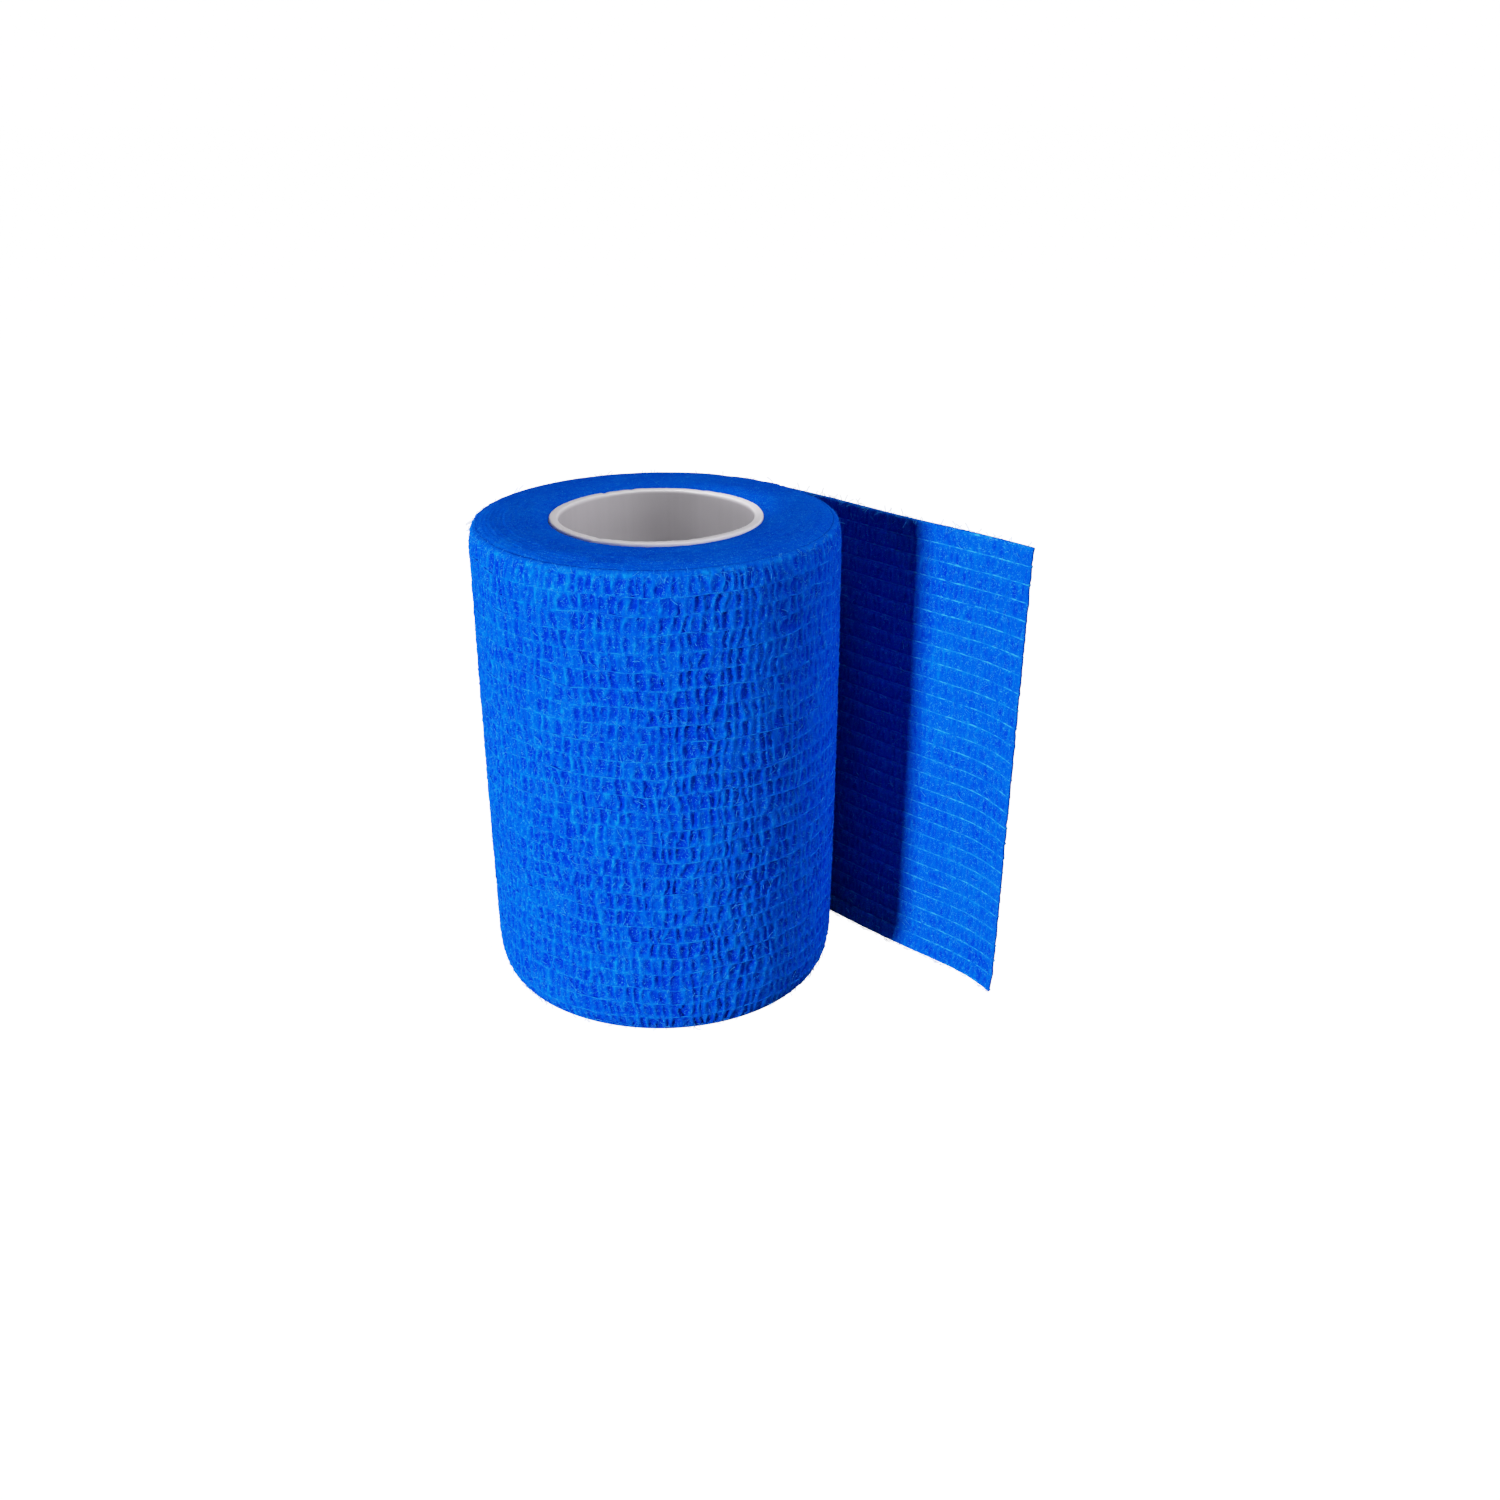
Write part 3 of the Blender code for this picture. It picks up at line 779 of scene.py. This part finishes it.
def thread_yarn(name, shades):
    """Pale blue yarn, fluffy and uneven, so it is lighter and darker along its length."""
    finish, start, shader = new_finish(name, IOR=1.45, Specular_IOR_Level=0.05)
    place = start.node("TexCoord", out=3)
    runs = start.node("TexNoise", {"Vector": place, "Scale": 900.0, "Detail": 2.0})
    twist = start.node("TexNoise", {"Vector": place, "Scale": 6000.0, "Detail": 1.0})
    runs.step(0.42, 0.60).colour(*shades).into(shader.inputs["Base Color"])
    (0.6 + 0.25 * twist).into(shader.inputs["Roughness"])
    bump = start.node("Bump", {"Height": twist, "Strength": 0.4, "Distance": 0.00004})
    bump.into(shader.inputs["Normal"])
    return finish


thread_level = np.arange(1, CELLS)[:, None].astype(float)
turn = np.linspace(0.0005, HIDDEN_TURN, int(ROLL_ROUND / THREAD_STEP))[None, :]
along = -turn * ROLL_ROUND
height = LOOSE_FOOT + thread_level * CELL + sway(along, thread_level)
sink = THREAD_SINK + THREAD_WANDER * uneven(101, (along, 0.006), (thread_level, 0.4), waves=24)
lines = at_turn(turn, roll_radius(turn, height) - sink, height)
radial = at_turn(turn, 1.0, 0.0 * height) - AXIS
points, quads, caps = tubes(lines, THREAD_RADIUS, 4, radial)
roll_threads = closed_piece("roll_threads", points, quads,
                            thread_yarn("roll_thread_yarn", ROLL_THREAD), caps)
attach(roll_threads, "root")

thread_level = np.concatenate([[EDGE_THREAD], thread_level[:, 0], [CELLS - EDGE_THREAD]])[:, None]
share = np.linspace(0.0, 0.9995, int(LOOSE_LENGTH_TOP / THREAD_STEP))[None, :]
along = share * loose_length(thread_level)
height = loose_height(along, thread_level)
wander = LOOSE_WANDER * uneven(102, (along, 0.004), (thread_level, 0.4), waves=24)
lines = from_leaving_line(along, loose_middle(along, height) + wander, height)
leaving = np.array([math.cos(LEAVE_ANGLE), math.sin(LEAVE_ANGLE), 0.0])
points, quads, caps = tubes(lines, LOOSE_THREAD_RADIUS, 6, np.broadcast_to(leaving, lines.shape))
loose_threads = closed_piece("loose_threads", points, quads,
                             thread_yarn("loose_thread_yarn", LOOSE_THREAD), caps)
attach(loose_threads, "root")


# ---------------------------------------------------------------------------------------------
# The lint: short fibres of the non-woven that have worked loose. Most lie along the cloth's
# face; those at the rims and at the loose end's edges stand out from it.

LINT_RADIUS = 0.000030
LINT_LENGTHS = (0.0003, 0.0013)
LINT_PALE = ((0.003, 0.16, 0.72), (0.04, 0.30, 0.80))
ROLL_LINT = 2900             # hairs on the roll's side, and on each of its rims
RIM_LINT = 260
LOOSE_LINT = 420             # hairs on the loose end's faces, and along its edges
EDGE_LINT = 240
LYING = (0.05, 0.4)          # how steeply a hair rises: from a face ...
STANDING = (0.1, 0.9)        # ... and from a rim or an edge
LINT_SINK = 0.00004          # how deep a hair's root lies
LINT_CLEAR = 0.00006         # and how far above the table it stays
FOOT_RIM = 0.0012            # height of the roots at the roll's foot


def hairs(rng, roots, outwards, lift):
    """Bent hairs, one from each root: each sets off along the face, rises from it by its lift,
    sinks back a little towards its tip, and swings to one side."""
    count = len(roots)
    aside = np.cross(outwards, rng.normal(size=(count, 3)))
    aside /= np.linalg.norm(aside, axis=1, keepdims=True)
    across = np.cross(outwards, aside)
    share = np.linspace(0.0, 1.0, 5)[None, :, None]
    length = rng.uniform(*LINT_LENGTHS, (count, 1, 1))
    rise = lift[:, None, None] * share * (1.0 - 0.45 * share)
    swing = rng.normal(0.0, 0.45, (count, 1, 1)) * share ** 2
    lines = roots[:, None] + length * (share * aside[:, None] + rise * outwards[:, None]
                                       + swing * across[:, None])
    lines[..., 2] = np.clip(lines[..., 2], LINT_CLEAR, None)
    return tubes(lines, LINT_RADIUS, 3, np.broadcast_to(across[:, None], lines.shape))


def lint_piece(name, rng, roots, outwards, lying):
    """A piece of joined hairs, that goes with the roll's cloth. The first of them lie along a
    face, as many as lying says, and the rest stand out from a rim or an edge."""
    outwards = outwards / np.linalg.norm(outwards, axis=1, keepdims=True)
    lift = [rng.uniform(*LYING, lying), rng.uniform(*STANDING, len(roots) - lying)]
    points, quads, caps = hairs(rng, roots, outwards, np.concatenate(lift))
    piece = closed_piece(name, points, quads, lint_yarn, caps)
    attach(piece, "root")
    return piece


lint_yarn = thread_yarn("lint_fibre", LINT_PALE)
rng = np.random.default_rng(111)
turn = rng.uniform(0.0, HIDDEN_TURN, ROLL_LINT + 2 * RIM_LINT)
height = rng.uniform(0.0005, LOOSE_TOP - 0.0003, ROLL_LINT)
height = np.concatenate([height, np.full(RIM_LINT, LOOSE_TOP), np.full(RIM_LINT, FOOT_RIM)])
roots = at_turn(turn, roll_radius(turn, height) - LINT_SINK, height)
outwards = at_turn(turn, 1.0, 0.0) - AXIS
outwards[ROLL_LINT:, 2] = np.repeat([1.0, -0.5], RIM_LINT)
lint_piece("roll_lint", rng, roots, outwards, ROLL_LINT)

along = rng.uniform(0.0005, LOOSE_LENGTH_FOOT - 0.0004, LOOSE_LINT + EDGE_LINT)
level = rng.uniform(0.1, CELLS - 0.1, LOOSE_LINT + EDGE_LINT)
level[LOOSE_LINT:] = np.where(level[LOOSE_LINT:] > CELLS / 2, CELLS, 0.0)
height = loose_height(along, level)
face = np.where(np.arange(len(along)) % 4 == 0, 1.0, -1.0)
depth = (LOOSE_THICKNESS / 2) * (1.0 - face)
roots = from_leaving_line(along, loose_offset(along, height) - depth, height)
outwards = face[:, None] * leaving
outwards[LOOSE_LINT:, 2] = np.where(level[LOOSE_LINT:] > 0.0, 1.0, -1.0)
loose_lint = lint_piece("loose_lint", rng, roots, outwards, LOOSE_LINT)


# ---------------------------------------------------------------------------------------------
# The floor, the light and the camera. A white table; a small lamp low at the left front, so that
# the roll's shadow on the loose end has a firm edge; weaker ones from the left and the right, a
# soft one overhead, and a narrow one aimed into the tube.

FLOOR_HALF = 4.0
FLOOR_GREY = 0.04
FLOOR_GLOW = 2.0             # the table is overexposed, as is all behind it
SKY_DIM = 0.01               # the room's own light
LAMP_DISTANCE = 1.2          # of every lamp but the tube's, from the middle of the roll
LAMPS = (                    # direction and rise in degrees, width, height, power
    ("key", -140.8, 1.0, 0.17, 0.10, 27.2),
    ("left_low", 178.0, 3.0, 0.3, 0.2, 3.5),
    ("right_low", -24.0, 12.0, 0.4, 0.5, 2.6),
    ("right_high", -38.0, 42.0, 0.5, 0.6, 8.3),
    ("overhead", -46.0, 84.0, 0.6, 0.6, 5.6))
BORE_LAMP = (-165.0, 50.0, 1.0)      # its direction, rise and distance
BORE_LAMP_POWER = 29.0
BORE_LAMP_CONE = math.radians(1.4)
BORE_LAMP_RADIUS = 0.003
BORE_AIM = 0.004             # how far off the axis it aims, towards +X and towards +Y
FILM = ((0.05, 0.049), (0.15, 0.15), (0.30, 0.305), (0.50, 0.495), (0.70, 0.625), (0.90, 0.735),
        (1.10, 0.805), (1.40, 0.875), (1.70, 0.94))   # how the camera renders bright light
FILM_WHITE = 2.0
FOCAL_PIXELS = 1509.6        # measured on the 1500-pixel picture
PICTURE_SIDE = 1500
CAMERA_BACK = 0.2216         # from the roll's axis, and above the table
CAMERA_HIGH = 0.1359
CAMERA_DOWN = math.radians(24.34)
CAMERA_RIGHT = math.radians(3.64)


def floor_paint():
    """Matt white; to the eye of the camera it also glows, as an overexposed table does."""
    grey = (FLOOR_GREY, FLOOR_GREY, FLOOR_GREY, 1.0)
    paint, start, shader = new_finish("floor_paint", Base_Color=grey, Roughness=0.9,
                                      Specular_IOR_Level=0.0)
    seen = start.node("LightPath")
    glow = start.node("Emission", {"Color": (1.0, 1.0, 1.0, 1.0), "Strength": seen * FLOOR_GLOW})
    both = start.node("AddShader", {0: Socket(paint.node_tree, shader.outputs[0]), 1: glow})
    both.into(paint.node_tree.nodes["Material Output"].inputs["Surface"])
    return paint


floor_mesh = bpy.data.meshes.new("floor")
floor_mesh.from_pydata([(sx * FLOOR_HALF, sy * FLOOR_HALF, -0.00002)
                        for sx, sy in ((-1, -1), (1, -1), (1, 1), (-1, 1))], [], [(0, 1, 2, 3)])
floor_mesh.materials.append(floor_paint())
floor = bpy.data.objects.new("floor", floor_mesh)
bpy.context.scene.collection.objects.link(floor)


def hang(data, azimuth, elevation, distance, target):
    """Hangs a light at a distance from its target, in a direction and at a rise in degrees, and
    turns it towards the target."""
    light = bpy.data.objects.new(data.name, data)
    a, e = math.radians(azimuth), math.radians(elevation)
    back = Vector((math.cos(a) * math.cos(e), math.sin(a) * math.cos(e), math.sin(e)))
    light.location = Vector(target) + distance * back
    light.rotation_euler = back.to_track_quat("Z", "Y").to_euler()
    bpy.context.scene.collection.objects.link(light)


for name, azimuth, elevation, wide, high, power in LAMPS:
    lamp = bpy.data.lights.new(name, "AREA")
    lamp.shape, lamp.size, lamp.size_y = "RECTANGLE", wide, high
    lamp.energy = power
    hang(lamp, azimuth, elevation, LAMP_DISTANCE, (AXIS[0], AXIS[1], ROLL_HEIGHT / 2))

lamp = bpy.data.lights.new("bore_lamp", "SPOT")
lamp.energy, lamp.shadow_soft_size = BORE_LAMP_POWER, BORE_LAMP_RADIUS
lamp.spot_size, lamp.spot_blend = BORE_LAMP_CONE, 0.5
hang(lamp, *BORE_LAMP, (AXIS[0] + BORE_AIM, AXIS[1] + BORE_AIM, TUBE_HEAD))

world = bpy.data.worlds.new("studio")
world.use_nodes = True
bpy.context.scene.world = world
start = Socket(world.node_tree)
sky = world.node_tree.nodes["Background"]
sky.inputs["Color"].default_value = (1.0, 1.0, 1.0, 1.0)
seen = start.node("LightPath")
(seen * FLOOR_GLOW + SKY_DIM).into(sky.inputs["Strength"])

view = bpy.context.scene.view_settings
view.view_transform = "Standard"
view.use_curve_mapping = True
view.curve_mapping.white_level = (FILM_WHITE, FILM_WHITE, FILM_WHITE)
for light_level, shown in FILM:
    view.curve_mapping.curves[3].points.new(light_level / FILM_WHITE, shown)
view.curve_mapping.update()

camera = bpy.data.objects.new("camera", bpy.data.cameras.new("camera"))
camera.data.sensor_width = 36.0
camera.data.lens = FOCAL_PIXELS / PICTURE_SIDE * camera.data.sensor_width
camera.data.clip_start = 0.01
camera.location = (AXIS[0], AXIS[1] - CAMERA_BACK, CAMERA_HIGH)
camera.rotation_euler = (math.pi / 2 - CAMERA_DOWN, 0.0, -CAMERA_RIGHT)
bpy.context.scene.collection.objects.link(camera)
bpy.context.scene.camera = camera
